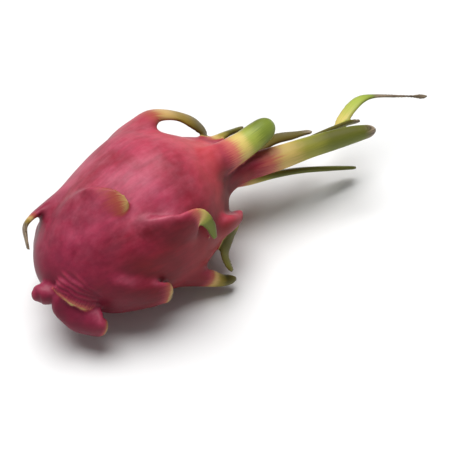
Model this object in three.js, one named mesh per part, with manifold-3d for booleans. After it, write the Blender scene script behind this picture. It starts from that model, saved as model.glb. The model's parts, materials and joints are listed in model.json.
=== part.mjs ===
// Dragon fruit lying on its side: one rind, with leafy scales grown from it and a crown of long ones.
// Millimetres and degrees. +X runs from the stem end to the crown, +Z is up, z = 0 is the table.
import * as THREE from "three";
import { ParametricGeometry } from "three/addons/geometries/ParametricGeometry.js";
import { mergeVertices } from "three/addons/utils/BufferGeometryUtils.js";
import Module from "manifold-3d";

// Driving dimensions of the body
const BODY_DIAMETER = 83;
const WIDEST_AT = 65; // from the stem end, along the fruit's own axis
const NECK_SPAN = 62; // from the widest place to the crown's rim
const NECK_DIAMETER = 22;
const NECK_FLARE = 1.4; // how long the belly keeps its width before the neck
const STEM_FULLNESS = 1.6; // of the half at the stem end: 2 is an ellipse, less tapers sooner
const STEM_SCAR_DIAMETER = 11;
const STEM_SCAR_DEPTH = 1.5;
const NAVEL_DEPTH = 5;
const FACET_DEPTH = 0.9; // the belly is a little three-sided between its rows of scales

// How the fruit lies: its axis rises to the crown, and its weight has flattened one spot
const AXIS_RISE = 4;
const STEM_END = new THREE.Vector3(-124.9, -1.3, 35.2);
const TABLE_SIZE = 300; // of the block that cuts the spot

// Facets of the solids
const BODY_SIDES = 48;
const BODY_RINGS = 40;
const BLADE_SIDES = 8;
const FAT_BLADE_SIDES = 12;
const FAT_BLADE_THICKNESS = 10;
const BLADE_RINGS = 11;
const SCAR_SHARE = 0.05; // of the body's rings
const NAVEL_SHARE = 0.08;

// Shape that all scales share
const SWELL_DROP = 6; // the raised skin falls off this far past the seat of its scale
const EDGE_SQUARENESS = 0.7; // of a blade's section: 1 is an ellipse, less is fuller at its edges
const TIP_BLUNTNESS = 12; // how near its end a blade begins to close
const ROOT_BLUNTNESS = 3.5;
const TIP_CROWDING = 1.6; // its rings stand closer towards the tip, so that the end comes out round
const LEAF_RISE = 16; // of a common scale's tip over the skin

const RAD = Math.PI / 180;
const RIM_AT = WIDEST_AT + NECK_SPAN;
// Where along the axis the skin is as wide as the stem scar
const SCAR_EDGE = WIDEST_AT * (1 - (1 - (STEM_SCAR_DIAMETER / BODY_DIAMETER) ** 2) ** (1 / STEM_FULLNESS));

// A scale is a blade along stations of the body: each is its distance along the axis from the stem end, its
// turn round the axis from the top towards -Y, its height over the plain body, and the blade's width and
// thickness there. The first station is sunk in the flesh; at the third, the seat, the blade comes free.
// swell is the height of the raised skin that leads up to the seat, and ramp its length. twist turns the
// blade about its midrib, all of it at the tip, and cup bends it round the fruit.
const scale = (name, swell, ramp, stations, twist = 0, cup = 1 / BODY_DIAMETER) =>
  ({ name, swell, ramp, stations, twist, cup });

// A common scale, as on the side that lies away: its seat and turn, its size beside a full-grown one, and
// how far it stands out beside one that points away from the fruit
function leaf(name, at, turn, size, stand = 1) {
  const tall = size * stand;
  return scale(name, 3 * tall, 26 * size, [
    [at - 26 * size, turn, -6, 28 * size, 6 * size],
    [at - 11 * size, turn, -1, 28 * size, 7 * size],
    [at, turn, 3 * tall, 20 * size, 6 * size],
    [at + 12 * size, turn, 0.45 * LEAF_RISE * tall, 11 * size, 3.6 * size],
    [at + 22 * size, turn, 0.75 * LEAF_RISE * tall, 6 * size, 2.4 * size],
    [at + 28 * size, turn, LEAF_RISE * tall, 3 * size, 1.8 * size],
  ]);
}

const SCALES = [
  // Belly, on the side that is seen
  scale("back_tall", 4.5, 40, [
    [58, -43, -7, 28, 7], [77, -45, -2, 28, 8], [91.5, -46, 4.5, 22, 8], [101.5, -46, 12.5, 14, 5.2],
    [112, -46, 15.5, 14, 3], [119, -45, 11, 12.4, 2.4], [121.5, -44, 2, 6, 1.8],
  ], 40),
  scale("front_flat", 2, 30, [
    [10, 2, -6, 28, 5], [24, 8, -2.2, 34, 6], [36, 15, 0.4, 30, 4.4], [44, 19, 1.9, 18, 2.6],
    [49.5, 23, 2.6, 8, 1.6],
  ], 32),
  scale("front_side", 4, 40, [
    [32, 62, -7, 34, 6], [50, 62, -2.5, 34, 7], [64, 60, 2, 24, 4.6], [74, 58, 4.2, 11, 2.8],
    [78.5, 68, 3.8, 6, 2], [80, 84, 2.4, 3, 1.4],
  ], 34),
  scale("drooping", 1, 22, [
    [82, 92, -6, 24, 7], [92, 98, 0, 20, 8], [101, 105, 5, 13, 7], [105.5, 110, 6.5, 9, 4.6],
    [101.5, 114, 7, 8.5, 3.4], [95.6, 114, 5, 8.5, 2.8], [89, 114, 5, 8.5, 2.4], [85.6, 113, 9, 7.5, 2],
    [83.5, 112, 15, 3.6, 1.4],
  ], 70),
  scale("low_right", 1.6, 26, [
    [50, 108, -8, 28, 8], [62, 117, -2, 20, 8.6], [72, 123, 5, 14, 8], [80.5, 126, 13.5, 9.5, 6.6],
    [88.4, 126, 21, 7, 4.6],
  ]),
  scale("low_front", 4, 34, [
    [10, 102, -7, 32, 7], [24, 104, 0, 37, 8], [37, 101, 3.6, 22, 5], [45, 102, 5.2, 16, 2.8],
    [50, 104, 6.2, 12.5, 1.8],
  ]),
  // Stem end
  scale("folded_back", 1.5, 16, [
    [29, 62, -6, 24, 6], [20, 62, -3.4, 24, 6], [13, 68, -0.6, 23, 4.6], [9, 77, 1.8, 24, 3],
    [5.4, 87, 5.6, 26, 2.4], [3.2, 94, 8.4, 25, 1.8],
  ], 42, 1 / 44),
  scale("stem_lobe", 0.5, 10, [
    [12, 90, -12, 18, 8], [5.6, 103, -2.6, 19, 9.6], [6, 115, 7, 20, 9.6], [8.4, 119, 13.8, 19, 8.6],
    [13, 120, 14.6, 14, 7.6],
  ]),
  scale("stem_bud", 0, 6, [
    [6, 100, -14, 9, 8], [1, 96, 1, 11, 9], [-4, 94, 3.5, 12.6, 9.4], [-8.4, 94, 2.6, 10, 8],
  ]),
  scale("left_curled", 3, 24, [
    [44, -44, -6, 24, 6], [33, -46, -2, 21, 6], [23, -47, 2.6, 13, 4.6], [15, -47, 7.3, 7.5, 3],
    [9.3, -47, 10.2, 5, 2], [6.2, -46, 8.3, 4, 1.6], [3.8, -46, 5.5, 2.4, 1.2],
  ]),
  // Crown
  scale("crown_finger", 2, 18, [
    [86, 25, -10, 18, 7], [102, 31, -3.5, 20, 11], [116, 36, 3, 17, 12.5], [129.4, 39, 5.5, 15, 13],
    [140, 38, 7.5, 14, 12.6], [151, 37, 7, 12, 11],
  ]),
  scale("crown_long", 2, 18, [
    [96, 90, -10, 17, 8], [113, 94, -3, 18, 11], [126, 99, 2.5, 16, 13], [138, 102, 6, 15, 13],
    [149, 102, 10, 14, 12.4], [164, 102, 14.5, 12.8, 11.4], [178, 102, 19.5, 12, 10.4],
    [192, 102, 25, 10.6, 8.6], [203, 102, 30, 7, 5.6],
  ]),
  scale("crown_thin", 0.5, 12, [
    [106, 134, -5, 11, 6], [116, 138, -1, 10, 6.4], [130.7, 140, 9, 8, 5.4], [146, 140, 15, 7, 4.2],
    [161.5, 140, 22, 6, 3.6], [179.5, 140, 32, 6.4, 3], [195.5, 140, 41.5, 5, 2],
  ]),
  scale("crown_dark", 0.5, 12, [
    [110, 168, -4, 12, 5], [124, 168, 0, 11, 5], [140, 168, -1, 9, 4.4], [158, 167, 1, 8.5, 3.4],
    [172, 166, 6.5, 8, 2.6], [186, 164, 12.5, 4, 1.6],
  ]),
  scale("crown_back", 1, 16, [
    [98, -42, -6, 16, 6], [108, -42, -3, 15, 6.4], [120, -43, -1, 12, 5], [133, -44, -2, 9, 3.4],
    [143.5, -44, -4, 5, 1.8],
  ]),
  scale("crown_thread", 0.5, 12, [
    [112, 130, -5, 10, 5], [124, 130, -2, 9, 5], [142, 130, 2, 8, 4.4], [166, 130, 10, 7.5, 4],
    [191, 130, 15, 7, 3.4], [199, 128, 12, 7.4, 3], [208.5, 125, 9, 7.6, 2.6], [217, 124, 8.7, 6.4, 2.2],
    [225, 123.5, 11.8, 3.4, 1.7], [237, 125, 19, 1.9, 1.4], [247, 126.5, 25, 1.6, 1.3],
    [252, 127.3, 28, 3, 1.8], [257, 128, 31, 1.5, 1.3],
  ], 70),
  scale("crown_hook", 0.5, 12, [
    [110, 118, -4, 12, 5], [120, 119, -1, 11, 5], [140, 120, 3, 9, 4.4], [165, 122, 8, 7.5, 3.4],
    [187, 122, 12, 6.5, 2.8], [199, 122, 15, 6, 2.4], [207, 122, 18.5, 3.6, 1.6],
  ]),
  scale("crown_far", 1, 14, [
    [106, 224, -5, 14, 6], [118, 223, 0, 12, 6.4], [132, 221, 2, 10, 5.4], [146, 219, 2.5, 8, 3.8],
    [157, 218, 2, 4.5, 2],
  ]),
  scale("crown_far_low", 1, 14, [
    [104, 196, -5, 14, 6], [116, 196, 0, 12, 6], [128, 197, 3, 9, 4.6], [139, 199, 5, 6, 2.8],
    [146, 200, 5.5, 3, 1.8],
  ]),
  // The side that lies away
  leaf("far_low_stem", 36, 224, 0.8, 0.5),
  leaf("far_low_crown", 84, 216, 0.8),
  leaf("far_stem", 20, 254, 0.75),
  leaf("far_belly", 58, 256, 1),
  leaf("far_crown", 96, 264, 0.8),
  leaf("far_neck", 108, 232, 0.65),
  leaf("under_stem", 22, 190, 0.6),
  leaf("under_neck", 106, 184, 0.65),
  leaf("far_top", 62, 274, 0.8, 0.3),
  leaf("far_top_stem", 22, 276, 0.6, 0.3),
  leaf("far_low", 60, 152, 0.8, 0.25),
  leaf("far_low_neck", 98, 154, 0.7, 0.35),
];

// Distance of the plain body's skin from the axis, at a distance along the axis from the stem end
function bodyRadius(along) {
  const widest = BODY_DIAMETER / 2;
  const neck = NECK_DIAMETER / 2;
  if (along <= 0) return 0;
  if (along <= WIDEST_AT) return widest * Math.sqrt(1 - (1 - along / WIDEST_AT) ** STEM_FULLNESS);
  const share = Math.min(1, (along - WIDEST_AT) / NECK_SPAN);
  return neck + (widest - neck) * (0.5 + 0.5 * Math.cos(Math.PI * share ** NECK_FLARE));
}

// A point in the fruit's own frame: along its axis, turned round it from the top, and away from it
const polar = (along, turn, radius) =>
  new THREE.Vector3(along, -radius * Math.sin(turn * RAD), radius * Math.cos(turn * RAD));

// A point of the plain body's skin
function bodyPoint(along, turn) {
  const facets = FACET_DEPTH * Math.cos(3 * turn * RAD) * Math.sin(Math.PI * Math.min(1, along / RIM_AT));
  return polar(along, turn, bodyRadius(along) + facets);
}

// The direction out of the plain skin at a point, from two short steps along it and round it
function skinOut(along, turn) {
  const step = 0.5;
  const alongIt = bodyPoint(along + step, turn).sub(bodyPoint(Math.max(0, along - step), turn));
  const roundIt = polar(0, turn + 90, 1);
  return alongIt.cross(roundIt).normalize().negate();
}

const smooth = (x) => {
  const t = Math.min(1, Math.max(0, x));
  return t * t * (3 - 2 * t);
};

// The seat of a scale on the plain skin, with the directions ahead, across and out of it
function seatOf({ stations }) {
  const [[backAt, backTurn], , [at, turn, , wide]] = stations;
  const point = bodyPoint(at, turn);
  const out = skinOut(at, turn);
  const ahead = point.clone().sub(bodyPoint(backAt, backTurn));
  ahead.addScaledVector(out, -ahead.dot(out)).normalize();
  return { point, out, ahead, across: out.clone().cross(ahead), halfWidth: 0.5 * wide };
}

const SEATS = SCALES.map(seatOf);

// Height of the skin over the plain body: each scale's ramp, which rises to its seat and falls off past it
function swelling(point, out) {
  let height = 0;
  SCALES.forEach(({ swell, ramp }, i) => {
    const seat = SEATS[i];
    const facing = out.dot(seat.out);
    if (facing <= 0) return;
    const offset = point.clone().sub(seat.point);
    const ahead = offset.dot(seat.ahead);
    const side = offset.dot(seat.across) / seat.halfWidth;
    const rise = ahead < 0 ? smooth(1 + ahead / ramp) : Math.exp(-((ahead / SWELL_DROP) ** 2));
    height = Math.max(height, swell * rise * Math.exp(-side * side) * smooth(2 * facing));
  });
  return height;
}

// One closed solid from a surface given by two shares, the first round it and the second along it
function solid(wasm, surface, sides, rings) {
  const plain = new ParametricGeometry(surface, sides, rings);
  plain.deleteAttribute("normal");
  plain.deleteAttribute("uv");
  const { index, attributes } = mergeVertices(plain, 1e-4);
  const triangles = [];
  for (let i = 0; i < index.count; i += 3) {
    const [a, b, c] = index.array.slice(i, i + 3);
    if (a !== b && b !== c && a !== c) triangles.push(a, b, c);
  }
  return new wasm.Manifold(new wasm.Mesh({
    numProp: 3,
    vertProperties: attributes.position.array,
    triVerts: new Uint32Array(triangles),
  }));
}

// The body, from the floor of its stem scar out round the belly and in to the floor of its navel
function bodySurface(roundShare, alongShare, target) {
  const turn = 360 * roundShare;
  if (alongShare < SCAR_SHARE) {
    const across = alongShare / SCAR_SHARE;
    const floor = SCAR_EDGE + STEM_SCAR_DEPTH * (1 - across ** 4);
    target.copy(polar(floor, turn, 0.5 * STEM_SCAR_DIAMETER * across));
    return;
  }
  if (alongShare > 1 - NAVEL_SHARE) {
    const across = (1 - alongShare) / NAVEL_SHARE;
    const floor = RIM_AT - NAVEL_DEPTH * Math.cos(0.5 * Math.PI * across);
    target.copy(polar(floor, turn, 0.5 * NECK_DIAMETER * across));
    return;
  }
  const share = (alongShare - SCAR_SHARE) / (1 - NAVEL_SHARE - SCAR_SHARE);
  const first = Math.acos(1 - 2 * SCAR_EDGE / RIM_AT) / Math.PI;
  const along = RIM_AT * (0.5 - 0.5 * Math.cos(Math.PI * (first + (1 - first) * share)));
  target.copy(bodyPoint(along, turn));
  const out = skinOut(along, turn);
  target.addScaledVector(out, swelling(target, out));
}

// A blade: a lens-shaped section swept along the smooth curve through its stations
function bladeSurface({ stations, twist, cup }) {
  const midrib = new THREE.CatmullRomCurve3(
    stations.map(([at, turn, height]) => polar(at, turn, bodyRadius(at) + height)),
    false, "centripetal",
  );
  const sizes = new THREE.CatmullRomCurve3(
    stations.map(([, , , wide, thick], i) => new THREE.Vector3(wide, thick, i)),
    false, "centripetal",
  );
  const out = new THREE.Vector3();
  return (roundShare, ringShare, target) => {
    const share = 1 - (1 - ringShare) ** TIP_CROWDING;
    const point = midrib.getPoint(share);
    const ahead = midrib.getTangent(share);
    const { x: wide, y: thick } = sizes.getPoint(share);
    out.set(0, point.y, point.z).normalize();
    const across = out.clone().cross(ahead).normalize().applyAxisAngle(ahead, twist * RAD * share);
    const outward = ahead.clone().cross(across);
    const tipEnd = Math.sqrt(Math.max(0, 1 - share ** TIP_BLUNTNESS));
    const end = tipEnd * Math.sqrt(Math.min(1, ROOT_BLUNTNESS * share));
    const angle = 2 * Math.PI * roundShare;
    const x = 0.5 * wide * end * Math.cos(angle);
    const lens = Math.sign(Math.sin(angle)) * Math.abs(Math.sin(angle)) ** EDGE_SQUARENESS;
    const cupping = cup * x * x;
    target.copy(point).addScaledVector(across, x)
      .addScaledVector(outward, 0.5 * thick * end * lens - cupping);
  };
}

const wasm = await Module();
wasm.setup();

// The table as a block under z = 0, which cuts the flat spot
function tableBlock() {
  const block = mergeVertices(new THREE.BoxGeometry(TABLE_SIZE, TABLE_SIZE, TABLE_SIZE)
    .translate(0, 0, -0.5 * TABLE_SIZE).deleteAttribute("normal").deleteAttribute("uv"));
  return new wasm.Manifold(new wasm.Mesh({
    numProp: 3,
    vertProperties: block.attributes.position.array,
    triVerts: new Uint32Array(block.index.array),
  }));
}

let fruit = solid(wasm, bodySurface, BODY_SIDES, BODY_RINGS);
for (const s of SCALES) {
  const fat = s.stations.some(([, , , , thick]) => thick > FAT_BLADE_THICKNESS);
  fruit = fruit.add(solid(wasm, bladeSurface(s), fat ? FAT_BLADE_SIDES : BLADE_SIDES, BLADE_RINGS));
}
const lying = new THREE.Matrix4().makeRotationY(-AXIS_RISE * RAD).setPosition(STEM_END);
const rested = fruit.transform(lying.elements).subtract(tableBlock());

const { vertProperties, triVerts } = rested.getMesh();
const geometry = new THREE.BufferGeometry()
  .setAttribute("position", new THREE.BufferAttribute(vertProperties, 3))
  .setIndex(new THREE.BufferAttribute(triVerts, 1));

const rind = new THREE.MeshStandardMaterial({ color: 0xa43c55, roughness: 0.5, metalness: 0 });
const mesh = new THREE.Mesh(geometry, rind);
mesh.name = "dragon_fruit";
const group = new THREE.Group();
group.add(mesh);
export default group;
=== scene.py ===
# %% [markdown]
# # A dragon fruit in Blender
# This lesson dresses one natural thing: a dragon fruit that lies on its side. On the real fruit a
# leathery pink rind grows fleshy scales, whose tips turn yellow, green and at last dry and brown, and at
# one end they crowd into a crown. The scales are part of the rind, so the lesson builds the body and the
# scales apart, and then grows them together into one skin.
#
# The part's solid model is loaded first. It says how large the fruit is and where it lies, in metres,
# with +X from the stem end to the crown and +Z up.

# %% Load the frame
import json
import math
import random

import bmesh
import bpy
import numpy as np
from mathutils import Matrix, Vector, noise
from mathutils.bvhtree import BVHTree

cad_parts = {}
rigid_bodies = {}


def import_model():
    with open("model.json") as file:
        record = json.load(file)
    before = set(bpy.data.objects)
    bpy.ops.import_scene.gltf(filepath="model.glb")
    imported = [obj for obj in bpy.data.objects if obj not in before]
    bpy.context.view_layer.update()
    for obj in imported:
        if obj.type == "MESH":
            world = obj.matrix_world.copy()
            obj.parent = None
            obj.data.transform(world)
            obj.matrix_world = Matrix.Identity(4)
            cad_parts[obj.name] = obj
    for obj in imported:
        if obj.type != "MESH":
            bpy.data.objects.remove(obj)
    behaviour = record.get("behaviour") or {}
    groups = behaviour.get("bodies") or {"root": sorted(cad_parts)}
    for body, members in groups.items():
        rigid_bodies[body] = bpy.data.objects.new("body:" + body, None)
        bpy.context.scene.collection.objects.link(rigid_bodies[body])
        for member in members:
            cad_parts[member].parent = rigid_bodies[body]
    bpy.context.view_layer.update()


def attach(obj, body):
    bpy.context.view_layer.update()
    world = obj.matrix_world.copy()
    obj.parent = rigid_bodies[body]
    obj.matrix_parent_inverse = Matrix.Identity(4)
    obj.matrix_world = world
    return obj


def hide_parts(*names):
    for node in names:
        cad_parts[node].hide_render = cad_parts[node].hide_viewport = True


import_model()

# %% [markdown]
# ## Sizes
# A grown thing has few true dimensions: how thick and long the body is, where it is widest, and how
# narrow its neck gets. They are the same values that the solid model was made from. Everything is
# designed in the fruit's own frame, whose X axis runs through the stem end, and laid down on the table at
# the end.

# %% Driving dimensions, in metres
MM = 0.001
BODY_DIAMETER = 83 * MM
WIDEST_AT = 65 * MM
NECK_SPAN = 62 * MM
NECK_DIAMETER = 22 * MM
NECK_FLARE = 1.4
STEM_FULLNESS = 1.6
STEM_SCAR_DIAMETER = 11 * MM
STEM_SCAR_DEPTH = 1.5 * MM
NAVEL_DEPTH = 5 * MM
FACETS, FACET_DEPTH = 3.0, 0.9 * MM
RIM_AT = WIDEST_AT + NECK_SPAN
SCAR_EDGE = WIDEST_AT * (1 - (1 - (STEM_SCAR_DIAMETER / BODY_DIAMETER) ** 2) ** (1 / STEM_FULLNESS))

AXIS_RISE = math.radians(4)
STEM_END = Vector((-124.9, -1.3, 35.2)) * MM
LYING = Matrix.Translation(STEM_END) @ Matrix.Rotation(-AXIS_RISE, 4, "Y")


def body_radius(along):
    """Distance of the plain skin from the axis."""
    along = np.asarray(along, dtype=float)
    widest, neck = BODY_DIAMETER / 2, NECK_DIAMETER / 2
    stem_half = np.clip(1 - along / WIDEST_AT, 0, 1) ** STEM_FULLNESS
    share = np.clip((along - WIDEST_AT) / NECK_SPAN, 0, 1)
    crown_half = neck + (widest - neck) * (0.5 + 0.5 * np.cos(np.pi * share ** NECK_FLARE))
    return np.where(along <= WIDEST_AT, widest * np.sqrt(1 - stem_half), crown_half)


def polar(along, turn, radius):
    """A point so far along the axis, turned round it from the top towards -Y, at some distance from it."""
    turn = np.radians(turn)
    return np.stack(np.broadcast_arrays(along, -radius * np.sin(turn), radius * np.cos(turn)), -1)


print("body: %.0f mm thick, %.0f mm long" % (BODY_DIAMETER / MM, RIM_AT / MM))

# %% [markdown]
# ## The camera
# The photograph looks down on the fruit from its stem end, a little to one side, through a long lens. The
# camera is set first, because every later choice is compared with the photograph through it. It looks at
# a point beside the body, because the picture's middle is not on the fruit's axis.

# %% The camera
AZIMUTH, ELEVATION = math.radians(-42.1), math.radians(49.3)
CAMERA_DISTANCE = 0.6
FIELD_OF_VIEW = math.radians(22.548)
CLIP_FROM, CLIP_TO = 0.01, 20
LOOK_AT = Vector((-29.73, -34.68, 35.92)) * MM


def placed(name, data):
    """An object that carries some data, linked into the scene."""
    made = bpy.data.objects.new(name, data)
    bpy.context.scene.collection.objects.link(made)
    return made


back = Vector((
    math.sin(AZIMUTH) * math.cos(ELEVATION),
    -math.cos(AZIMUTH) * math.cos(ELEVATION),
    math.sin(ELEVATION),
))
camera = placed("camera", bpy.data.cameras.new("camera"))
camera.location = LOOK_AT + back * CAMERA_DISTANCE
camera.rotation_mode = "QUATERNION"
camera.rotation_quaternion = back.to_track_quat("Z", "Y")
camera.data.angle = FIELD_OF_VIEW
camera.data.clip_start, camera.data.clip_end = CLIP_FROM, CLIP_TO
bpy.context.scene.camera = camera
print("camera at", [round(x, 3) for x in camera.location])

# %% [markdown]
# ## Trees of nodes
# The body is a shape turned round an axis, and each scale is a section swept along a midrib. Both follow
# a rule, so Geometry Nodes make them. A few helpers keep the trees readable: one adds a node and sets or
# links its sockets, and others write arithmetic.

# %% Helpers for node trees
WELD = 0.02 * MM


class Tree:
    """A geometry tree with named inputs, written from left to right."""

    def __init__(self, name, inputs):
        self.tree = bpy.data.node_groups.new(name, "GeometryNodeTree")
        face = self.tree.interface
        face.new_socket("Geometry", in_out="INPUT", socket_type="NodeSocketGeometry")
        for label, (kind, value) in inputs.items():
            socket = face.new_socket(label, in_out="INPUT", socket_type="NodeSocket" + kind)
            if value is not None:
                socket.default_value = value
        face.new_socket("Geometry", in_out="OUTPUT", socket_type="NodeSocketGeometry")
        self.inputs = self.tree.nodes.new("NodeGroupInput").outputs
        self.result = self.tree.nodes.new("NodeGroupOutput").inputs[0]

    def put(self, socket, value):
        if isinstance(value, bpy.types.NodeSocket):
            self.tree.links.new(value, socket)
        elif value is not None:
            socket.default_value = value

    def add(self, kind, values, **settings):
        """A node with its settings, and values for its sockets by name or place."""
        node = self.tree.nodes.new(kind)
        for key, value in settings.items():
            setattr(node, key, value)
        for key, value in values.items():
            self.put(node.inputs[key], value)
        return node

    def math(self, operation, *values):
        return self.add("ShaderNodeMath", dict(enumerate(values)), operation=operation).outputs[0]

    def product(self, first, *others):
        for value in others:
            first = self.math("MULTIPLY", first, value)
        return first

    def vector(self, operation, *values):
        places = (0, "Scale") if operation == "SCALE" else range(len(values))
        node = self.add("ShaderNodeVectorMath", dict(zip(places, values)), operation=operation)
        return node.outputs["Vector"]

    def join(self, x, y, z):
        return self.add("ShaderNodeCombineXYZ", {0: x, 1: y, 2: z}).outputs[0]

    def split(self, vector):
        return self.add("ShaderNodeSeparateXYZ", {0: vector}).outputs

    def named(self, name):
        node = self.add("GeometryNodeInputNamedAttribute", {"Name": name}, data_type="FLOAT")
        return node.outputs["Attribute"]

    def keep(self, geometry, name, value):
        """Stores a value at each point, under a name."""
        values = {"Geometry": geometry, "Name": name, "Value": value}
        node = self.add("GeometryNodeStoreNamedAttribute", values, data_type="FLOAT", domain="POINT")
        return node.outputs[0]

    def shares(self, around, along):
        """A sheet of points, and each point's share of the way round and along."""
        sheet = self.add("GeometryNodeMeshGrid", {
            "Size X": 1.0, "Size Y": 1.0, "Vertices X": around, "Vertices Y": along,
        }).outputs["Mesh"]
        x, y, _ = self.split(self.add("GeometryNodeInputPosition", {}).outputs[0])
        sheet = self.keep(sheet, "round share", self.math("ADD", x, 0.5))
        sheet = self.keep(sheet, "along share", self.math("ADD", y, 0.5))
        return sheet, self.named("round share"), self.named("along share")

    def close(self, geometry):
        """Welds a rolled-up sheet and ends the tree."""
        for kind, values in (
            ("GeometryNodeMergeByDistance", {"Distance": WELD}),
            ("GeometryNodeSetShadeSmooth", {"Shade Smooth": True}),
            ("GeometryNodeRealizeInstances", {}),
            ("GeometryNodeSetMaterial", {"Material": self.inputs["Material"]}),
        ):
            geometry = self.add(kind, {"Geometry": geometry, **values}).outputs[0]
        self.tree.links.new(geometry, self.result)


def line_object(name, points, **attributes):
    """A chain of points as a mesh, with a value of each attribute at each point."""
    mesh = bpy.data.meshes.new(name)
    mesh.from_pydata([tuple(p) for p in points], [(i, i + 1) for i in range(len(points) - 1)], [])
    for key, values in attributes.items():
        mesh.attributes.new(key, "FLOAT", "POINT").data.foreach_set("value", values)
    return placed(name, mesh)


def grow(source, tree, values):
    """Runs a tree on an object, with its inputs set by their names, and returns the plain mesh."""
    modifier = source.modifiers.new("grow", "NODES")
    modifier.node_group = tree
    for item in tree.interface.items_tree:
        if item.item_type == "SOCKET" and item.in_out == "INPUT" and item.name in values:
            modifier[item.identifier] = values[item.name]
    bpy.context.view_layer.update()
    grown = source.evaluated_get(bpy.context.evaluated_depsgraph_get())
    mesh = bpy.data.meshes.new_from_object(grown)
    bpy.data.objects.remove(source)
    return mesh


# %% [markdown]
# ## The body
# The skin is a curve turned round the axis: in at the stem scar, out round the belly, in to the neck and
# down into the navel between the crown's scales. A tree samples that outline and turns it, and gives the
# belly a little of the three-sided look that the rows of scales leave it.

# %% The body's outline
SCAR_POINTS, OUTLINE_POINTS, NAVEL_POINTS = 12, 120, 16


def body_outline():
    """Points from the axis at the stem scar's floor to the axis at the navel's floor, and which are skin."""
    scar = np.linspace(0, 1, SCAR_POINTS, endpoint=False)
    first = np.arccos(1 - 2 * SCAR_EDGE / RIM_AT) / np.pi
    along = RIM_AT * (0.5 - 0.5 * np.cos(np.pi * np.linspace(first, 1, OUTLINE_POINTS)))
    navel = np.linspace(1, 0, NAVEL_POINTS)[1:]
    x = np.concatenate([
        SCAR_EDGE + STEM_SCAR_DEPTH * (1 - scar ** 4),
        along,
        RIM_AT - NAVEL_DEPTH * np.cos(0.5 * np.pi * navel),
    ])
    radius = np.concatenate([STEM_SCAR_DIAMETER / 2 * scar, body_radius(along), NECK_DIAMETER / 2 * navel])
    skin = np.concatenate([scar * 0, along * 0 + 1, navel * 0])
    return np.stack([x, x * 0, radius], -1), skin


outline, on_skin = body_outline()
print("body outline:", len(outline), "points")

# %% The tree that turns it
turning = Tree("turned body", {
    "Around": ("Int", 220), "Along": ("Int", 200), "Facet Depth": ("Float", FACET_DEPTH),
    "Rim At": ("Float", RIM_AT), "Material": ("Material", None),
})
t = turning
sheet, round_share, along_share = t.shares(t.inputs["Around"], t.inputs["Along"])
chain = t.add("GeometryNodeMeshToCurve", {"Mesh": t.inputs["Geometry"]}).outputs[0]
sample = t.add("GeometryNodeSampleCurve", {
    "Curves": chain, "Value": t.named("skin"), "Factor": along_share,
}, mode="FACTOR", use_all_curves=True)
x, _, radius = t.split(sample.outputs["Position"])
turn = t.product(round_share, 2 * math.pi)
bulge = t.math("SINE", t.product(t.math("DIVIDE", x, t.inputs["Rim At"]), math.pi))
facet = t.math("COSINE", t.product(turn, FACETS))
facet = t.product(facet, t.inputs["Facet Depth"], bulge, sample.outputs["Value"])
radius = t.math("ADD", radius, facet)
y = t.product(radius, t.math("SINE", turn), -1.0)
z = t.product(radius, t.math("COSINE", turn))
turned = t.add("GeometryNodeSetPosition", {"Geometry": sheet, "Position": t.join(x, y, z)}).outputs[0]
turned = t.keep(turned, "skin", sample.outputs["Value"])
t.close(turned)

rind = bpy.data.materials.new("rind")
body_mesh = grow(line_object("outline", outline, skin=on_skin), turning.tree, {"Material": rind})
print("body:", len(body_mesh.vertices), "points")

# %% [markdown]
# ## The scales
# Each scale is a blade along a few stations of the body. A station says where it is, how high over the
# skin, and how wide and thick the blade is there, so the same five numbers describe a thick finger of the
# crown and a dry thread. The first station is sunk in the flesh, and at the third the blade comes free.
#
# Colour follows growth, and is counted in stations too: a scale is `pink` up to one, `green` from another
# and `dry` from a third. `age` says how far its green has gone from lime towards olive and brown.

# %% The table of scales


def scale(name, swell, ramp, stations, twist=0, pink=2.2, green=3.6, dry=9, age=0.4, tip=0, torn=0, folds=0,
          cup=MM / BODY_DIAMETER):
    """One scale, with lengths in mm and angles in degrees.

    swell and ramp are the height and length of the raised skin that leads up to it. twist turns its width
    round the midrib towards the tip, and cup is 1 over the radius that it cups round. tip is the length of
    its rounded end, torn the depth of the tears in it, and folds the height of the folds across the blade.
    """
    return dict(name=name, swell=swell * MM, ramp=ramp * MM, twist=math.radians(twist), cup=cup / MM,
                pink=pink, green=green, dry=dry, age=age, tip=tip * MM, torn=torn * MM, folds=folds * MM,
                stations=np.array(stations, dtype=float) * (MM, 1, MM, MM, MM))


LEAF_RISE = 16


def leaf(name, at, turn, size, stand=1, **finish):
    """A common scale: its seat, its size beside a full-grown one, and how far it stands out."""
    tall = size * stand
    return scale(name, 3 * tall, 26 * size, [
        (at - 26 * size, turn, -6, 28 * size, 6 * size),
        (at - 11 * size, turn, -1, 28 * size, 7 * size),
        (at, turn, 3 * tall, 20 * size, 6 * size),
        (at + 12 * size, turn, 0.45 * LEAF_RISE * tall, 11 * size, 3.6 * size),
        (at + 22 * size, turn, 0.75 * LEAF_RISE * tall, 6 * size, 2.4 * size),
        (at + 28 * size, turn, LEAF_RISE * tall, 3 * size, 1.8 * size),
    ], **finish)


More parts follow.
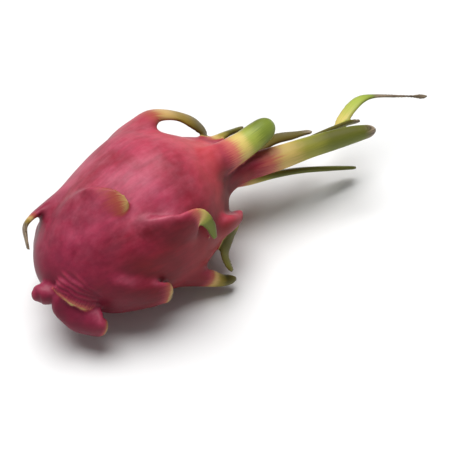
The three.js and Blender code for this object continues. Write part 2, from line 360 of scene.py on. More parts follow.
SCALES = [
    # Belly, on the side that is seen
    scale("back_tall", 4.5, 40, [
        (58, -43, -7, 28, 7), (77, -45, -2, 28, 8), (91.5, -46, 4.5, 22, 8), (101.5, -46, 12.5, 14, 5.2),
        (112, -46, 15.5, 14, 3), (119, -45, 11, 12.4, 2.4), (121.5, -44, 2, 6, 1.8),
    ], twist=40, pink=1.9, green=5.3, dry=5.6, age=1.0),
    scale("front_flat", 2, 30, [
        (10, 2, -6, 28, 5), (24, 8, -2.2, 34, 6), (36, 15, 0.4, 30, 4.4), (44, 19, 1.9, 18, 2.6),
        (49.5, 23, 2.6, 8, 1.6),
    ], twist=32, pink=2.0, green=6.5, dry=3.9, age=1.0),
    scale("front_side", 4, 40, [
        (32, 62, -7, 34, 6), (50, 62, -2.5, 34, 7), (64, 60, 2, 24, 4.6), (74, 58, 4.2, 11, 2.8),
        (78.5, 68, 3.8, 6, 2), (80, 84, 2.4, 3, 1.4),
    ], twist=34, pink=2.6, green=3.7, dry=4.8, age=0.35),
    scale("drooping", 1, 22, [
        (82, 92, -6, 24, 7), (92, 98, 0, 20, 8), (101, 105, 5, 13, 7), (105.5, 110, 6.5, 9, 4.6),
        (101.5, 114, 7, 8.5, 3.4), (95.6, 114, 5, 8.5, 2.8), (89, 114, 5, 8.5, 2.4), (85.6, 113, 9, 7.5, 2),
        (83.5, 112, 15, 3.6, 1.4),
    ], twist=70, pink=3, green=4.4, dry=7.8, age=0.85),
    scale("low_right", 1.6, 26, [
        (50, 108, -8, 28, 8), (62, 117, -2, 20, 8.6), (72, 123, 5, 14, 8), (80.5, 126, 13.5, 9.5, 6.6),
        (88.4, 126, 21, 7, 4.6),
    ], pink=1.8, green=3.3, dry=3.85, age=0.85),
    scale("low_front", 4, 34, [
        (10, 102, -7, 32, 7), (24, 104, 0, 37, 8), (37, 101, 3.6, 22, 5), (45, 102, 5.2, 16, 2.8),
        (50, 104, 6.2, 12.5, 1.8),
    ], twist=-12, pink=2.6, green=4.6, dry=3.4, age=1.0, tip=2.5, torn=4),
    # Stem end
    scale("folded_back", 1.5, 16, [
        (29, 62, -6, 24, 6), (20, 62, -3.4, 24, 6), (13, 68, -0.6, 23, 4.6), (9, 77, 1.8, 24, 3),
        (5.4, 87, 5.6, 26, 2.4), (3.2, 94, 8.4, 25, 1.8),
    ], twist=42, cup=1 / 44, pink=3.6, green=5.8, dry=4.6, age=0.45, tip=1.2, torn=3, folds=0.3),
    scale("stem_lobe", 0.5, 10, [
        (12, 90, -12, 18, 8), (5.6, 103, -2.6, 19, 9.6), (6, 115, 7, 20, 9.6), (8.4, 119, 13.8, 19, 8.6),
        (13, 120, 14.6, 14, 7.6),
    ], pink=3.4, green=4.4, dry=3.75, age=1.0, tip=3.5),
    scale("stem_bud", 0, 6, [
        (6, 100, -14, 9, 8), (1, 96, 1, 11, 9), (-4, 94, 3.5, 12.6, 9.4), (-8.4, 94, 2.6, 10, 8),
    ], pink=5, green=9, folds=0.1),
    scale("left_curled", 3, 24, [
        (44, -44, -6, 24, 6), (33, -46, -2, 21, 6), (23, -47, 2.6, 13, 4.6), (15, -47, 7.3, 7.5, 3),
        (9.3, -47, 10.2, 5, 2), (6.2, -46, 8.3, 4, 1.6), (3.8, -46, 5.5, 2.4, 1.2),
    ], pink=2.6, green=4, dry=3.6, age=1.0),
    # Crown
    scale("crown_finger", 2, 18, [
        (86, 25, -10, 18, 7), (102, 31, -3.5, 20, 11), (116, 36, 3, 17, 12.5), (129.4, 39, 5.5, 15, 13),
        (140, 38, 7.5, 14, 12.6), (151, 37, 7, 12, 11),
    ], pink=1.5, green=4.1, age=0.1),
    scale("crown_long", 2, 18, [
        (96, 90, -10, 17, 8), (113, 94, -3, 18, 11), (126, 99, 2.5, 16, 13), (138, 102, 6, 15, 13),
        (149, 102, 10, 14, 12.4), (164, 102, 14.5, 12.8, 11.4), (178, 102, 19.5, 12, 10.4),
        (192, 102, 25, 10.6, 8.6), (203, 102, 30, 7, 5.6),
    ], pink=2.2, green=6, dry=7.3, age=0.45),
    scale("crown_thin", 0.5, 12, [
        (106, 134, -5, 11, 6), (116, 138, -1, 10, 6.4), (130.7, 140, 9, 8, 5.4), (146, 140, 15, 7, 4.2),
        (161.5, 140, 22, 6, 3.6), (179.5, 140, 32, 6.4, 3), (195.5, 140, 41.5, 5, 2),
    ], pink=1, green=3, dry=5.8, age=0.45),
    scale("crown_dark", 0.5, 12, [
        (110, 168, -4, 12, 5), (124, 168, 0, 11, 5), (140, 168, -1, 9, 4.4), (158, 167, 1, 8.5, 3.4),
        (172, 166, 6.5, 8, 2.6), (186, 164, 12.5, 4, 1.6),
    ], pink=1.4, green=2.4, dry=4.4, age=1.0),
    scale("crown_back", 1, 16, [
        (98, -42, -6, 16, 6), (108, -42, -3, 15, 6.4), (120, -43, -1, 12, 5), (133, -44, -2, 9, 3.4),
        (143.5, -44, -4, 5, 1.8),
    ], pink=1.6, green=3, dry=3.6, age=0.8),
    scale("crown_thread", 0.5, 12, [
        (112, 130, -5, 10, 5), (124, 130, -2, 9, 5), (142, 130, 2, 8, 4.4), (166, 130, 10, 7.5, 4),
        (191, 130, 15, 7, 3.4), (199, 128, 12, 7.4, 3), (208.5, 125, 9, 7.6, 2.6), (217, 124, 8.7, 6.4, 2.2),
        (225, 123.5, 11.8, 3.4, 1.7), (237, 125, 19, 1.9, 1.4), (247, 126.5, 25, 1.6, 1.3),
        (252, 127.3, 28, 3, 1.8), (257, 128, 31, 1.5, 1.3),
    ], twist=70, pink=1, green=8, dry=7.7, age=0.0),
    scale("crown_hook", 0.5, 12, [
        (110, 118, -4, 12, 5), (120, 119, -1, 11, 5), (140, 120, 3, 9, 4.4), (165, 122, 8, 7.5, 3.4),
        (187, 122, 12, 6.5, 2.8), (199, 122, 15, 6, 2.4), (207, 122, 18.5, 3.6, 1.6),
    ], pink=1.6, green=3.4, dry=5.2, age=0.8),
    scale("crown_far", 1, 14, [
        (106, 224, -5, 14, 6), (118, 223, 0, 12, 6.4), (132, 221, 2, 10, 5.4), (146, 219, 2.5, 8, 3.8),
        (157, 218, 2, 4.5, 2),
    ], pink=1.6, green=3.2, dry=3.8, age=0.4),
    scale("crown_far_low", 1, 14, [
        (104, 196, -5, 14, 6), (116, 196, 0, 12, 6), (128, 197, 3, 9, 4.6), (139, 199, 5, 6, 2.8),
        (146, 200, 5.5, 3, 1.8),
    ], pink=1.6, green=3.2, dry=3.8, age=0.5),
    # The side that lies away
    leaf("far_low_stem", 36, 224, 0.8, 0.5),
    leaf("far_low_crown", 84, 216, 0.8),
    leaf("far_stem", 20, 254, 0.75),
    leaf("far_belly", 58, 256, 1),
    leaf("far_crown", 96, 264, 0.8),
    leaf("far_neck", 108, 232, 0.65),
    leaf("under_stem", 22, 190, 0.6),
    leaf("under_neck", 106, 184, 0.65),
    leaf("far_top", 62, 274, 0.8, 0.3),
    leaf("far_top_stem", 22, 276, 0.6, 0.3),
    leaf("far_low", 60, 152, 0.8, 0.25),
    leaf("far_low_neck", 98, 154, 0.7, 0.35),
]
print(len(SCALES), "scales")

# %% [markdown]
# ## One blade
# A blade's section is a lens, a little fuller at its edges than an ellipse, that cups round the fruit.
# The tree rolls a sheet of points into that lens and strings it on the midrib. Its margins wave a little,
# and the wave is different on each scale because its start is an input. Old scales are torn at the end,
# so a noise across the blade shortens it there.

# %% The tree that makes a blade
# The noise across the blade's end: how fine it is, and what turns it into tears
TEAR_COUNT, TEAR_GAIN, TEAR_START = 2.6, 3.2, -1.1
# Rows of points come closer towards the tip
TIP_CROWDING = 1.5
# The margin's wave: radians along and across the blade, and how near the edge it stays
WAVE_COUNT, WAVE_SLANT, WAVE_FADE = 19.0, 1.7, 3.0

blade_tree = Tree("scale blade", {
    "Around": ("Int", 44), "Along": ("Int", 110),
    "Twist": ("Float", 0.0), "Cupping": ("Float", 1 / BODY_DIAMETER), "Edge Squareness": ("Float", 0.7),
    "Tip Length": ("Float", 4 * MM), "Root Length": ("Float", 12 * MM), "Torn": ("Float", 0.0),
    "Margin Wave": ("Float", 0.0), "Wave Start": ("Float", 0.0), "Material": ("Material", None),
})
t = blade_tree
sheet, round_share, along_share = t.shares(t.inputs["Around"], t.inputs["Along"])
midrib = t.add("GeometryNodeMeshToCurve", {"Mesh": t.inputs["Geometry"]}).outputs[0]
midrib = t.add("GeometryNodeCurveSplineType", {"Curve": midrib}, spline_type="CATMULL_ROM").outputs[0]
length = t.add("GeometryNodeCurveLength", {"Curve": midrib}).outputs[0]
angle = t.product(round_share, 2 * math.pi)
side, height = t.math("COSINE", angle), t.math("SINE", angle)
ragged = t.add("ShaderNodeTexNoise", {
    "W": t.math("MULTIPLY_ADD", side, TEAR_COUNT, t.inputs["Wave Start"]),
    "Scale": 1.0, "Detail": 4.0, "Roughness": 0.7,
}, noise_dimensions="1D").outputs[0]
ragged = t.math("MAXIMUM", t.math("MULTIPLY_ADD", ragged, TEAR_GAIN, TEAR_START), 0.0)
ragged = t.math("MINIMUM", ragged, 1.0)
whole = t.math("SUBTRACT", 1.0, t.math("DIVIDE", t.product(t.inputs["Torn"], ragged), length))
crowd = t.math("SUBTRACT", 1.0, t.math("POWER", t.math("SUBTRACT", 1.0, along_share), TIP_CROWDING))
reach = t.product(crowd, whole)
sizes = t.join(t.named("wide"), t.named("thick"), 0.0)
sample = t.add("GeometryNodeSampleCurve", {"Curves": midrib, "Factor": reach}, mode="FACTOR",
               data_type="FLOAT_VECTOR", use_all_curves=True)
t.put(sample.inputs["Value"], sizes)
point, ahead = sample.outputs["Position"], sample.outputs["Tangent"]
wide, thick, _ = t.split(sample.outputs["Value"])
out = t.vector("NORMALIZE", t.vector("MULTIPLY", point, (0.0, 1.0, 1.0)))
across = t.vector("NORMALIZE", t.vector("CROSS_PRODUCT", out, ahead))
across = t.add("ShaderNodeVectorRotate", {
    "Vector": across, "Axis": ahead, "Angle": t.product(t.inputs["Twist"], crowd),
}, rotation_type="AXIS_ANGLE").outputs[0]
outward = t.vector("CROSS_PRODUCT", ahead, across)


def closing(distance, over):
    """1 along the blade, and down to 0 as a round end over some length."""
    short = t.math("MAXIMUM", t.math("SUBTRACT", 1.0, t.math("DIVIDE", distance, over)), 0.0)
    return t.math("SQRT", t.math("MAXIMUM", t.math("SUBTRACT", 1.0, t.product(short, short)), 0.0))


tip_end = closing(t.product(length, t.math("SUBTRACT", 1.0, crowd)), t.inputs["Tip Length"])
root_end = closing(t.product(length, crowd), t.inputs["Root Length"])
end = t.product(tip_end, root_end)
lens = t.math("POWER", t.math("ABSOLUTE", height), t.inputs["Edge Squareness"])
lens = t.product(t.math("SIGN", height), lens)
sideways = t.product(wide, 0.5, end, side)
cup = t.product(sideways, sideways, t.inputs["Cupping"])
slant = t.math("MULTIPLY_ADD", side, WAVE_SLANT, t.inputs["Wave Start"])
wave = t.math("SINE", t.math("ADD", t.product(crowd, WAVE_COUNT), slant))
margin = t.product(t.math("POWER", t.math("ABSOLUTE", side), WAVE_FADE), t.product(crowd, end))
wave = t.product(wave, margin, t.inputs["Margin Wave"])
upward = t.product(thick, 0.5, end, lens)
upward = t.math("ADD", t.math("SUBTRACT", upward, cup), wave)
place = t.vector("ADD", point, t.vector("SCALE", across, sideways))
place = t.vector("ADD", place, t.vector("SCALE", outward, upward))
blade = t.add("GeometryNodeSetPosition", {"Geometry": sheet, "Position": place}).outputs[0]
blade = t.keep(blade, "share", reach)
blade = t.keep(blade, "side", side)
t.close(blade)

# %% Grow every scale
MARGIN_WAVE = 0.5 * MM
TIP_SHARE, TIP_LEAST = 0.6, 1 * MM
chance = random.Random(7)


def read(items, key, width=1, kind=float):
    """One property of every item of a mesh, as an array with a row for each."""
    values = np.empty(width * len(items), dtype=kind)
    items.foreach_get(key, values)
    return values if width == 1 else values.reshape(-1, width)


def mesh_arrays(mesh, names):
    """A mesh's points, its triangles and some of its point attributes, as arrays."""
    mesh.calc_loop_triangles()
    values = {name: read(mesh.attributes[name].data, "value") for name in names}
    return read(mesh.vertices, "co", 3), read(mesh.loop_triangles, "vertices", 3, int), values


blades = []
for s in SCALES:
    at, turn, height, wide, thick = s["stations"].T
    chain = line_object(s["name"], polar(at, turn, body_radius(at) + height), wide=wide, thick=thick)
    mesh = grow(chain, blade_tree.tree, {
        "Twist": s["twist"], "Tip Length": s["tip"] or TIP_SHARE * max(wide[-1], thick[-1]) + TIP_LEAST,
        "Margin Wave": MARGIN_WAVE, "Wave Start": chance.uniform(0, 6.3), "Torn": s["torn"],
        "Cupping": s["cup"], "Material": rind,
    })
    blades.append(mesh_arrays(mesh, ("share", "side")))
print("blades:", sum(len(points) for points, _, _ in blades), "points")

# %% [markdown]
# ## Ridges that lead up to the scales
# A scale's outer face runs down into the skin, so the flesh under it is swollen into a ramp. Each point
# of the body is moved out by the highest of the ramps that reach it. A ramp rises to the seat of its
# scale and falls off quickly past it.

# %% Swell the body
SWELL_DROP = 6 * MM


def unit(vectors):
    return vectors / np.linalg.norm(vectors, axis=-1, keepdims=True)


def smooth(x):
    """0 below 0, 1 above 1, and an even curve between."""
    share = np.clip(x, 0, 1)
    return share * share * (3 - 2 * share)


def skin_out(along, turn):
    """The direction out of the plain skin."""
    step = 0.5 * MM
    low, high = np.maximum(along - step, 0), along + step
    slope = (body_radius(high) - body_radius(low)) / (high - low)
    return unit(polar(-slope, turn, 1.0))


def swelling(points, outs):
    """How far the ramps lift each point of the plain skin."""
    height = np.zeros(len(points))
    for s in SCALES:
        back_at, back_turn = s["stations"][0][:2]
        at, turn, _, wide, _ = s["stations"][2]
        seat, out = polar(at, turn, body_radius(at)), skin_out(at, turn)
        ahead = seat - polar(back_at, back_turn, body_radius(back_at))
        ahead = unit(ahead - out * ahead.dot(out))
        offset = points - seat
        forward, sideways = offset @ ahead, offset @ np.cross(out, ahead) / (0.5 * wide)
        rise = np.where(forward < 0, smooth(1 + forward / s["ramp"]), np.exp(-(forward / SWELL_DROP) ** 2))
        facing = smooth(2 * (outs @ out))
        height = np.maximum(height, s["swell"] * rise * np.exp(-sideways ** 2) * facing)
    return height


body_points, body_faces, body_values = mesh_arrays(body_mesh, ("skin",))
body_turns = np.degrees(np.arctan2(-body_points[:, 1], body_points[:, 2]))
body_outs = skin_out(body_points[:, 0], body_turns)
DENT_DEPTH, DENT_WIDTH = 0.7 * MM, 17 * MM
dents = np.array([noise.noise(Vector(p) / DENT_WIDTH) for p in body_points]) * DENT_DEPTH
lift = (swelling(body_points, body_outs) + dents) * body_values["skin"]
body_points = body_points + body_outs * lift[:, None]
print("highest ridge: %.1f mm" % (lift.max() / MM))

# %% [markdown]
# ## Growing together
# The body and the scales still pass through each other. A voxel remesh keeps only the outside and makes
# one skin of it. Where a scale's root meets the body a sharp valley is left, which a real rind doesn't
# have, so the points there are relaxed: each moves towards the mean of its neighbours, and the weight of
# that fades away from the joint and along the free blade. A few rounds even the whole skin. They would
# thin the free blades, so those are drawn back to the surfaces that they grew from.

# %% One skin
VOXEL = 0.86 * MM


def plain_object(name, points, faces):
    mesh = bpy.data.meshes.new(name)
    mesh.from_pydata(points.tolist(), [], faces.tolist())
    return placed(name, mesh)


def stack(parts):
    """Several meshes as one set of points and triangles."""
    starts = np.cumsum([0] + [len(points) for points, _ in parts])
    return (np.concatenate([points for points, _ in parts]),
            np.concatenate([faces + start for (_, faces), start in zip(parts, starts)]))


blade_points, blade_faces = stack([(points, faces) for points, faces, _ in blades])
all_points, all_faces = stack([(body_points, body_faces), (blade_points, blade_faces)])
raw = plain_object("raw fruit", all_points, all_faces)
remesh = raw.modifiers.new("one skin", "REMESH")
remesh.mode, remesh.voxel_size = "VOXEL", VOXEL
bpy.context.view_layer.update()
skin_mesh = bpy.data.meshes.new_from_object(raw.evaluated_get(bpy.context.evaluated_depsgraph_get()))
bpy.data.objects.remove(raw)


def keep_largest_shell(mesh):
    """Deletes the closed crumbs that a remesh leaves where two surfaces meet inside."""
    whole = bmesh.new()
    whole.from_mesh(mesh)
    shells, seen = [], set()
    for start in whole.verts:
        if start in seen:
            continue
        seen.add(start)
        shell, front = [start], [start]
        while front:
            ahead = [edge.other_vert(point) for point in front for edge in point.link_edges]
            front = [point for point in dict.fromkeys(ahead) if point not in seen]
            seen.update(front)
            shell.extend(front)
        shells.append(shell)
    shells.sort(key=len)
    for crumb in shells[:-1]:
        bmesh.ops.delete(whole, geom=crumb, context="VERTS")
    whole.to_mesh(mesh)
    whole.free()
    return len(shells) - 1


print("crumbs removed:", keep_largest_shell(skin_mesh))
points = read(skin_mesh.vertices, "co", 3)
edges = read(skin_mesh.edges, "vertices", 2, int)
print("one skin:", len(points), "points,", len(skin_mesh.polygons), "faces")

# %% What each point of the skin grew from
# In stations: how long a tip takes to dry, and where the folds start and how soon they are full
DRY_SPAN = 0.4
FOLD_FROM, FOLD_SPAN = 1.4, 0.8
NO_AREA = 1e-24


def nearest(tree_points, faces, values, query):
    """Distance of each query point from a mesh, and the mesh's values there."""
    tree = BVHTree.FromPolygons(tree_points.tolist(), faces.tolist())
    found = [tree.find_nearest(Vector(p)) for p in query]
    place = np.array([hit[0] for hit in found])
    corners = faces[[hit[2] for hit in found]]
    a, b, c = (tree_points[corners[:, i]] for i in range(3))
    ab, ac, ap = b - a, c - a, place - a
    d00, d01, d11 = (ab * ab).sum(1), (ab * ac).sum(1), (ac * ac).sum(1)
    d20, d21 = (ap * ab).sum(1), (ap * ac).sum(1)
    area = np.maximum(d00 * d11 - d01 * d01, NO_AREA)
    v, w = (d11 * d20 - d01 * d21) / area, (d00 * d21 - d01 * d20) / area
    weights = np.clip(np.stack([1 - v - w, v, w], -1), 0, 1)
    weights /= weights.sum(1, keepdims=True)
    mixed = {key: (value[corners] * weights).sum(1) for key, value in values.items()}
    return np.array([hit[3] for hit in found]), mixed


def blade_values():
    """For every point of every blade: its station and side, its reach and width there, and its finish."""
    keys = {key: [] for key in ("station", "side", "reach", "wide", "green", "dry", "age", "tag", "fold")}
    for number, (s, (_, _, values)) in enumerate(zip(SCALES, blades)):
        share, side = values["share"], values["side"]
        at, turn, height, wide, _ = s["stations"].T
        path = polar(at, turn, body_radius(at) + height)
        reached = np.concatenate([[0], np.cumsum(np.linalg.norm(np.diff(path, axis=0), axis=1))])
        reach = share * reached[-1]
        station = np.interp(reach, reached, np.arange(len(at)))
        keys["station"].append(station)
        keys["side"].append(side)
        keys["reach"].append(reach)
        keys["wide"].append(np.interp(reach, reached, wide))
        keys["green"].append((station - s["pink"]) / (s["green"] - s["pink"]))
        keys["dry"].append((station - s["dry"]) / DRY_SPAN)
        keys["age"].append(share * 0 + s["age"])
        keys["tag"].append(share * 0 + number)
        keys["fold"].append(s["folds"] * smooth((station - FOLD_FROM) / FOLD_SPAN))
    return {key: np.concatenate(value) for key, value in keys.items()}


from_body, _ = nearest(body_points, body_faces, {}, points)
from_blade, grown = nearest(blade_points, blade_faces, blade_values(), points)
print("measured %d points against body and blades" % len(points))

# %% Relax the joints
JOINT_REACH = 2.6 * MM
# Between these stations a blade comes free of the body
FREE_FROM, FREE_TO = 1.8, 2.8
JOINT_ROUNDS, JOINT_STEP = 24, 0.8
EVEN_ROUNDS, EVEN_STEP = 3, 0.5
degree = np.bincount(edges.ravel(), minlength=len(points))


def neighbour_mean(values):
    """Each point's mean of a value over the points that it shares an edge with."""
    total = np.zeros((len(points),) + values.shape[1:])
    np.add.at(total, edges[:, 0], values[edges[:, 1]])
    np.add.at(total, edges[:, 1], values[edges[:, 0]])
    shape = (-1,) + (1,) * (values.ndim - 1)
    return total / np.maximum(degree, 1).reshape(shape)


joint = np.exp(-(np.maximum(from_body, from_blade) / JOINT_REACH) ** 2)
joint *= 1 - smooth((grown["station"] - FREE_FROM) / (FREE_TO - FREE_FROM))
for _ in range(JOINT_ROUNDS):
    points = points + (joint * JOINT_STEP)[:, None] * (neighbour_mean(points) - points)
for _ in range(EVEN_ROUNDS):
    points = points + EVEN_STEP * (neighbour_mean(points) - points)
print("relaxed %d points round the roots" % (joint > 0.1).sum())

# %% Draw the free blades back to their own surfaces
FREE_DISTANCE = 2 * MM
PULL_REACH = 0.5 * VOXEL
blade_surface = BVHTree.FromPolygons(blade_points.tolist(), blade_faces.tolist())
pull = np.array([blade_surface.find_nearest(Vector(p))[0] for p in points]) - points
near = smooth(2 - np.linalg.norm(pull, axis=1) / PULL_REACH)
free = smooth(from_body / FREE_DISTANCE - 1) * (1 - joint) * near
points = points + free[:, None] * pull
print("drew back %d points of the free blades" % (free > 0.5).sum())

# %% Folds across the flaps that are bent back
FOLD_SPACING = 2.5 * MM
FOLD_WANDER, WANDER_SIZE = 4, 6 * MM
FOLD_SKIN = 1.2 * MM


def normals_of(mesh, points):
    """The mesh's directions outwards, once its points are moved."""
    mesh.vertices.foreach_set("co", points.ravel())
    mesh.update()
    return read(mesh.vertex_normals, "vector", 3)


wander = np.array([noise.noise(Vector(p) / WANDER_SIZE) for p in points])
folds = np.sin(2 * np.pi * grown["reach"] / FOLD_SPACING + FOLD_WANDER * wander)
folds = folds * np.exp(-(from_blade / FOLD_SKIN) ** 2) * grown["fold"]
points = points + normals_of(skin_mesh, points) * folds[:, None]
print("folds up to %.2f mm" % (np.abs(folds).max() / MM))

# %% Lay it down
turned_down = np.array(LYING.to_3x3())
points = points @ turned_down.T + np.array(STEM_END)
points[:, 2] = np.maximum(points[:, 2], 0.0)
print("laid down, lowest point %.2f mm" % (points[:, 2].min() / MM))

# %% [markdown]
# ## What the finish has to know
# The rind's colours follow its shape, so the skin carries some attributes. One of them is how far a point
# faces up, which paints light on the top and shade underneath, and lays a bloom that is partly dust and
# partly a painted sheen where the skin faces up. `hollow` and `ridge` say how the skin bends there, for
# painted shade in the hollows and painted highlights on the ridges, and `crest` is above 0 on the folds
# and below 0 between them, for painted highlights on the fold crests. `blade`, `green`, `dry`, `age` and
# `edge` come from the scale that the point grew from. `grain` holds the lengths along and across that
# scale, so that a streak can run along it.

# %% Attributes for the finish
BORDER_WIDTH = 1.2 * MM
BEND_ROUNDS, FINISH_ROUNDS = 5, 2
# How far a point lies off its neighbours' mean, in voxels, where a hollow or a ridge is full
HOLLOW_BEND = 0.07
RIDGE_FROM, RIDGE_BEND = 0.02, 0.09
CREST_HEIGHT = 0.3 * MM
UP_FROM, UP_SPAN = 0.12, 0.85

blade_share = smooth((from_body - from_blade) / BORDER_WIDTH + 0.5)
outs = normals_of(skin_mesh, points)
bend = ((neighbour_mean(points) - points) * outs).sum(1) / VOXEL
for _ in range(BEND_ROUNDS):
    bend = neighbour_mean(bend)
finish = {
    "painted_light_and_bloom": smooth((outs[:, 2] - UP_FROM) / UP_SPAN),
    "hollow": smooth(bend / HOLLOW_BEND),
    "ridge": smooth(-(bend + RIDGE_FROM) / RIDGE_BEND),
    "crest": folds / CREST_HEIGHT,
    "green": np.clip(grown["green"], 0, 1) * blade_share,
    "dry": np.clip(grown["dry"], 0, 1) * blade_share,
    "age": grown["age"],
    "edge": np.abs(grown["side"]) ** 4 * blade_share,
    "blade": blade_share,
}
for key, value in finish.items():
    for _ in range(FINISH_ROUNDS):
        value = 0.5 * value + 0.5 * neighbour_mean(value)
    skin_mesh.attributes.new(key, "FLOAT", "POINT").data.foreach_set("value", value)
grain = np.stack([grown["reach"], grown["side"] * grown["wide"], grown["tag"]], -1)
skin_mesh.attributes.new("grain", "FLOAT_VECTOR", "POINT").data.foreach_set("vector", grain.ravel())

fruit = placed("fruit", skin_mesh)
skin_mesh.polygons.foreach_set("use_smooth", [True] * len(skin_mesh.polygons))
skin_mesh.materials.append(rind)
print("fruit carries", ", ".join([*finish, "grain"]))

# %% [markdown]
# ## The rind's finish
# The skin is waxy and a little dusty: deep crimson pink, painted paler where it faces up and deeper where
# it faces down as painted light and shade, with a bloom up there that is partly dust and partly a painted
# sheen. Painted highlights make its ridges and the crests of its folds pinker, painted shade makes its
# hollows a darker red, and it is redder towards the crown and more mauve towards the stem. Along each
# scale the pink turns coral, cream yellow, lime and green, and old tips go olive, brown and dry. One
# material colours the whole fruit, with noise to break up every border.

# %% Helpers for the material
rind.use_nodes = True
nodes, links = rind.node_tree.nodes, rind.node_tree.links
shader = nodes["Principled BSDF"]
BLACK, WHITE = (0, 0, 0, 1), (1, 1, 1, 1)


def rgb(red, green, blue):
    """A colour as it is read from a picture, 0 to 255, for a node that wants it linear."""
    def linear(v):
        v /= 255
        return v / 12.92 if v <= 0.04045 else ((v + 0.055) / 1.055) ** 2.4
    return (linear(red), linear(green), linear(blue), 1)


def grey(level):
    return rgb(level, level, level)


def feed(socket, value):
    """Links another node's output to a socket, or sets the socket to a plain value."""
    if isinstance(value, bpy.types.NodeSocket):
        links.new(value, socket)
    else:
        socket.default_value = value


def node(kind, values=None, **settings):
    made = nodes.new(kind)
    for key, value in settings.items():
        setattr(made, key, value)
    for key, value in (values or {}).items():
        feed(made.inputs[key], value)
    return made


def attribute(name):
    return node("ShaderNodeAttribute", attribute_name=name).outputs


def calc(operation, *values, clamp=False):
    return node("ShaderNodeMath", dict(enumerate(values)), operation=operation, use_clamp=clamp).outputs[0]


def tones(value, *stops):
    """Colours at places from 0 to 1, with soft changes between them."""
    made = node("ShaderNodeValToRGB", {"Fac": value})
    made.color_ramp.interpolation = "EASE"
    elements = made.color_ramp.elements
    while len(elements) < len(stops):
        elements.new(0.5)
    for element, (place, colour) in zip(elements, stops):
        element.position, element.color = place, colour
    return made.outputs["Color"]


def cloud(vector, fineness, detail=4.0, roughness=0.55, distortion=0.0):
    """Soft noise, with about `fineness` clouds to a unit of the vector."""
    return node("ShaderNodeTexNoise", {
        "Vector": vector, "Scale": fineness, "Detail": detail, "Roughness": roughness,
        "Distortion": distortion,
    }).outputs["Fac"]


def blend(share, first, second, mode="MIX"):
    made = node("ShaderNodeMix", data_type="RGBA", blend_type=mode)
    for place, value in ((0, share), (6, first), (7, second)):
        feed(made.inputs[place], value)
    return made.outputs[2]


print("material helpers are ready")

# %% Grain, mottling and patches
SKIN_GRAIN, BLADE_GRAIN = (45.0, 260.0, 260.0), (60.0, 900.0, 1.0)
MOTTLE, PATCHES, SPECKLE = 110.0, 26.0, 900.0
position = node("ShaderNodeTexCoord").outputs["Object"]
lengthwise = node("ShaderNodeMapping", {"Vector": position, "Scale": SKIN_GRAIN}).outputs[0]
grain_place = node("ShaderNodeMapping", {
    "Vector": attribute("grain")["Vector"], "Scale": BLADE_GRAIN,
}).outputs[0]
skin_grain = cloud(lengthwise, 1.0, detail=5.0, roughness=0.6)
blade_grain = cloud(grain_place, 1.0, detail=3.0)
mottle = cloud(position, MOTTLE, detail=6.0, roughness=0.62)
patches = cloud(position, PATCHES, detail=3.0, distortion=0.4)
speckle = cloud(position, SPECKLE, detail=3.0)
on_blade, painted_light_and_bloom = attribute("blade")["Fac"], attribute("painted_light_and_bloom")["Fac"]
streak = blend(on_blade, skin_grain, blade_grain)
print("clouds to a metre: %.0f of mottling, %.0f patches, %.0f of speckle" % (MOTTLE, PATCHES, SPECKLE))

# %% The skin's colour
SHADE_CRIMSON, CRIMSON, PINK, BLOOM_AND_SHEEN = rgb(100, 4, 11), rgb(130, 14, 33), rgb(166, 44, 76), rgb(208, 128, 146)
FOLD_CREST_HIGHLIGHT, SCALE_RED = rgb(196, 70, 84), rgb(104, 12, 32)
RIDGE_HIGHLIGHT, HOLLOW_SHADE = rgb(196, 72, 96), rgb(74, 4, 16)
WARM, MAUVE = rgb(208, 72, 64), rgb(124, 26, 68)
DUST_AND_SHEEN, DUST_AND_SHEEN_FADE = 0.38, 1.5
STREAKS, WARMTH, MAUVENESS = 0.4, 0.72, 0.4

# Painted light and shade: a sunny, paler copy of the crimson where the skin faces up, and a shaded, deeper
# copy where it faces down
shaded = tones(patches, (0.3, SHADE_CRIMSON), (0.72, CRIMSON))
sunny = tones(patches, (0.3, CRIMSON), (0.62, PINK))
skin_colour = blend(painted_light_and_bloom, shaded, sunny)
# Painted highlights make the fold crests and the ridges pinker, painted shade makes the hollows a darker
# red, and the blades are made a darker red
for share, most, tint in (
    (attribute("crest")["Fac"], 0.8, FOLD_CREST_HIGHLIGHT), (on_blade, 0.35, SCALE_RED),
    (attribute("ridge")["Fac"], 0.4, RIDGE_HIGHLIGHT), (attribute("hollow")["Fac"], 0.75, HOLLOW_SHADE),
):
    skin_colour = blend(calc("MULTIPLY", share, most, clamp=True), skin_colour, tint)
# Where the skin faces up, a mottled pale bloom that is partly real dust and partly a painted sheen
dust = tones(mottle, (0.25, grey(120)), (0.85, WHITE))
dusty_sheen = calc("MULTIPLY", dust, calc("MULTIPLY", calc("POWER", painted_light_and_bloom, DUST_AND_SHEEN_FADE), DUST_AND_SHEEN))
skin_colour = blend(dusty_sheen, skin_colour, BLOOM_AND_SHEEN)
streaks = tones(skin_grain, (0.3, grey(150)), (0.7, grey(218)))
skin_colour = blend(STREAKS, skin_colour, streaks, "OVERLAY")
along_x = node("ShaderNodeSeparateXYZ", {"Vector": position}).outputs["X"]
# From 0 at x = -64 mm to 1 at -8 mm, and from 0 at -84 mm to 1 at -124 mm
toward_crown = calc("MULTIPLY_ADD", along_x, 18.0, 1.15, clamp=True)
toward_stem = calc("MULTIPLY_ADD", along_x, -25.0, -2.1, clamp=True)
warm = calc("MULTIPLY", toward_crown, tones(patches, (0.3, BLACK), (0.68, WHITE)))
skin_colour = blend(calc("MULTIPLY", warm, WARMTH), skin_colour, WARM)
skin_colour = blend(calc("MULTIPLY", toward_stem, MAUVENESS), skin_colour, MAUVE)
print("skin's colour:", len(nodes), "nodes so far")

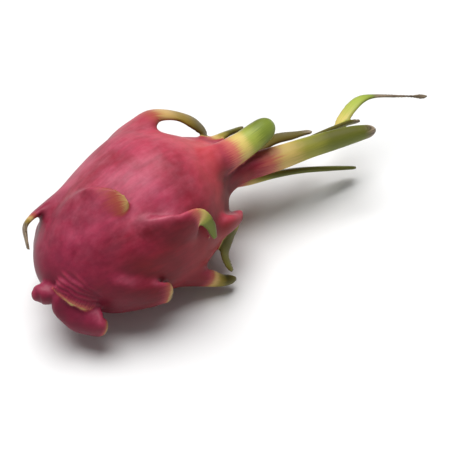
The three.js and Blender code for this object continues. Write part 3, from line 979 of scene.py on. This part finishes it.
# %% The scales' colour
CORAL, CREAM, LIME, GREEN = rgb(202, 106, 96), rgb(220, 198, 112), rgb(166, 180, 78), rgb(122, 140, 54)
RUST, TAN, OLIVE, DARK_OLIVE = rgb(164, 76, 64), rgb(196, 160, 98), rgb(142, 116, 38), rgb(92, 80, 28)
MARGIN_BROWN, BROWN, STRAW = rgb(70, 56, 26), rgb(52, 40, 30), rgb(158, 140, 116)
BORDER_WANDER, MARGIN_SHARE, PINK_FADE = 0.3, 0.55, 4.0

green_share, dry_share = attribute("green")["Fac"], attribute("dry")["Fac"]
border = calc("ADD", green_share, calc("MULTIPLY", calc("SUBTRACT", streak, 0.5), BORDER_WANDER))
border = calc("MULTIPLY", border, calc("GREATER_THAN", green_share, 0.001), clamp=True)
fresh = tones(border, (0.0, PINK), (0.26, CORAL), (0.5, CREAM), (0.76, LIME), (1.0, GREEN))
old = tones(border, (0.0, PINK), (0.25, RUST), (0.45, TAN), (0.7, OLIVE), (1.0, DARK_OLIVE))
scale_colour = blend(attribute("age")["Fac"], fresh, old)
margin = calc("MULTIPLY", attribute("edge")["Fac"], calc("MULTIPLY", border, MARGIN_SHARE))
scale_colour = blend(margin, scale_colour, MARGIN_BROWN)
scale_colour = blend(calc("MULTIPLY", border, PINK_FADE, clamp=True), skin_colour, scale_colour)
dry_colour = tones(streak, (0.32, BROWN), (0.66, STRAW))
links.new(blend(dry_share, scale_colour, dry_colour), shader.inputs["Base Color"])
print("scales' colour:", len(nodes), "nodes so far")

# %% Wax and relief
shader.inputs["Roughness"].default_value = 0.43
shader.inputs["Specular IOR Level"].default_value = 0.19
relief = calc("ADD", calc("MULTIPLY", mottle, 0.8), calc("MULTIPLY", speckle, 0.25))
relief = calc("ADD", relief, calc("MULTIPLY", streak, 0.7))
bump = node("ShaderNodeBump", {"Height": relief, "Strength": 0.3, "Distance": 0.4 * MM})
links.new(bump.outputs[0], shader.inputs["Normal"])
print("rind material:", len(nodes), "nodes")

# %% [markdown]
# ## The studio
# The photograph shows only soft light from above. A wide soft sun, overhead and a little behind, makes
# the top bright and leaves the lower half deep crimson. A weak white world fills the shadows, and the
# floor is plain.

# %% Floor, lamps and world
FLOOR_SIZE, FLOOR_GAP = 40.0, 0.2 * MM
SUN_STRENGTH, SUN_SPREAD, SUN_FROM = 3.75, math.radians(45), Vector((0.05, 0.2, 0.9))
WORLD_STRENGTH = 0.19

floor_mesh = bpy.data.meshes.new("floor")
half = FLOOR_SIZE / 2
corners = [(-half, -half), (half, -half), (half, half), (-half, half)]
floor_mesh.from_pydata([(x, y, -FLOOR_GAP) for x, y in corners], [], [(0, 1, 2, 3)])
floor = placed("floor", floor_mesh)
floor_material = bpy.data.materials.new("pale floor")
floor_material.use_nodes = True
floor_shader = floor_material.node_tree.nodes["Principled BSDF"]
floor_shader.inputs["Base Color"].default_value = (0.8, 0.8, 0.8, 1)
floor_shader.inputs["Roughness"].default_value = 0.7
floor_mesh.materials.append(floor_material)

overhead = placed("overhead", bpy.data.lights.new("overhead", "SUN"))
overhead.data.energy, overhead.data.angle = SUN_STRENGTH, SUN_SPREAD
overhead.rotation_mode = "QUATERNION"
overhead.rotation_quaternion = SUN_FROM.to_track_quat("Z", "Y")
world = bpy.data.worlds.new("studio")
world.use_nodes = True
world.node_tree.nodes["Background"].inputs["Color"].default_value = (1, 1, 1, 1)
world.node_tree.nodes["Background"].inputs["Strength"].default_value = WORLD_STRENGTH
bpy.context.scene.world = world
bpy.context.scene.view_settings.view_transform = "Standard"
print("sun %.2f, world %.2f" % (SUN_STRENGTH, WORLD_STRENGTH))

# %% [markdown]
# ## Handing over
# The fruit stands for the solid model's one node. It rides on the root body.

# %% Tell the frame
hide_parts("dragon_fruit")
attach(fruit, "root")
